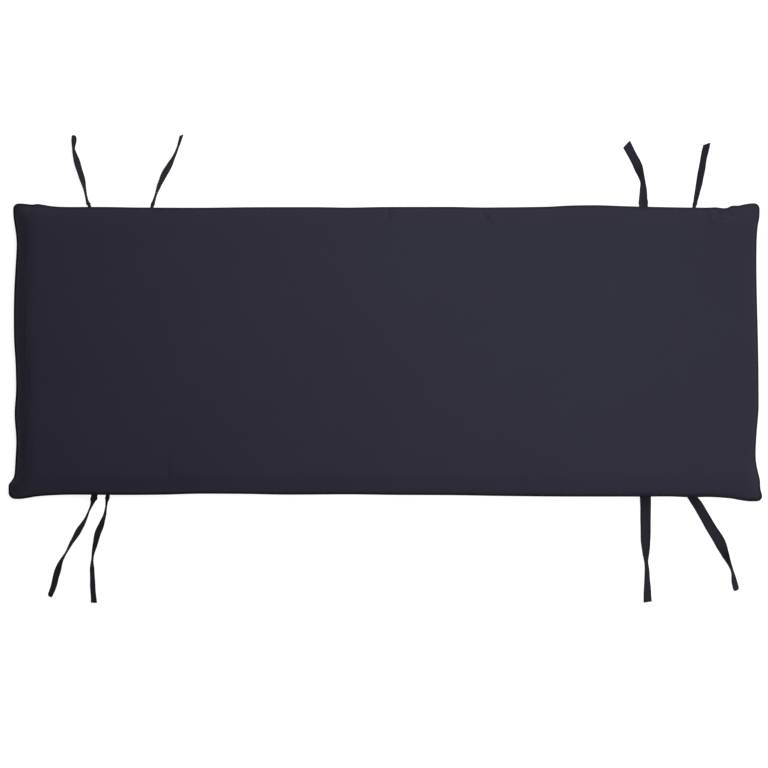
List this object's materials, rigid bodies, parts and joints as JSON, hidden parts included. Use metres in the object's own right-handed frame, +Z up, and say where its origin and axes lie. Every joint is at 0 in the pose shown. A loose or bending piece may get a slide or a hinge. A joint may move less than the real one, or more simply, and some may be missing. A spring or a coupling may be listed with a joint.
{
  "type": "bench cushion",
  "caption": "Long padded bench cushion with a sewn ridge round its sides, drawn-out corners and flat cloth ties along both long sides.",
  "frame": {"origin": "centre of the cushion's underside", "axes": "+X along the cushion, +Y across it, +Z up through its thickness"},
  "size_m": [1.1765, 0.7351, 0.054],
  "materials": {
    "cover_cloth": "matt dark blue-grey plain-weave cloth",
    "tape_cloth": "matt tape of the cover's cloth, folded and stitched"
  },
  "bodies": {
    "root": {"cushion": "cover_cloth", "tie_back_left_outer": "tape_cloth", "tie_back_left_inner": "tape_cloth", "tie_back_right_outer": "tape_cloth", "tie_back_right_inner": "tape_cloth", "tie_front_left_outer": "tape_cloth", "tie_front_left_inner": "tape_cloth", "tie_front_right_outer": "tape_cloth", "tie_front_right_inner": "tape_cloth"}
  },
  "joints": []
}
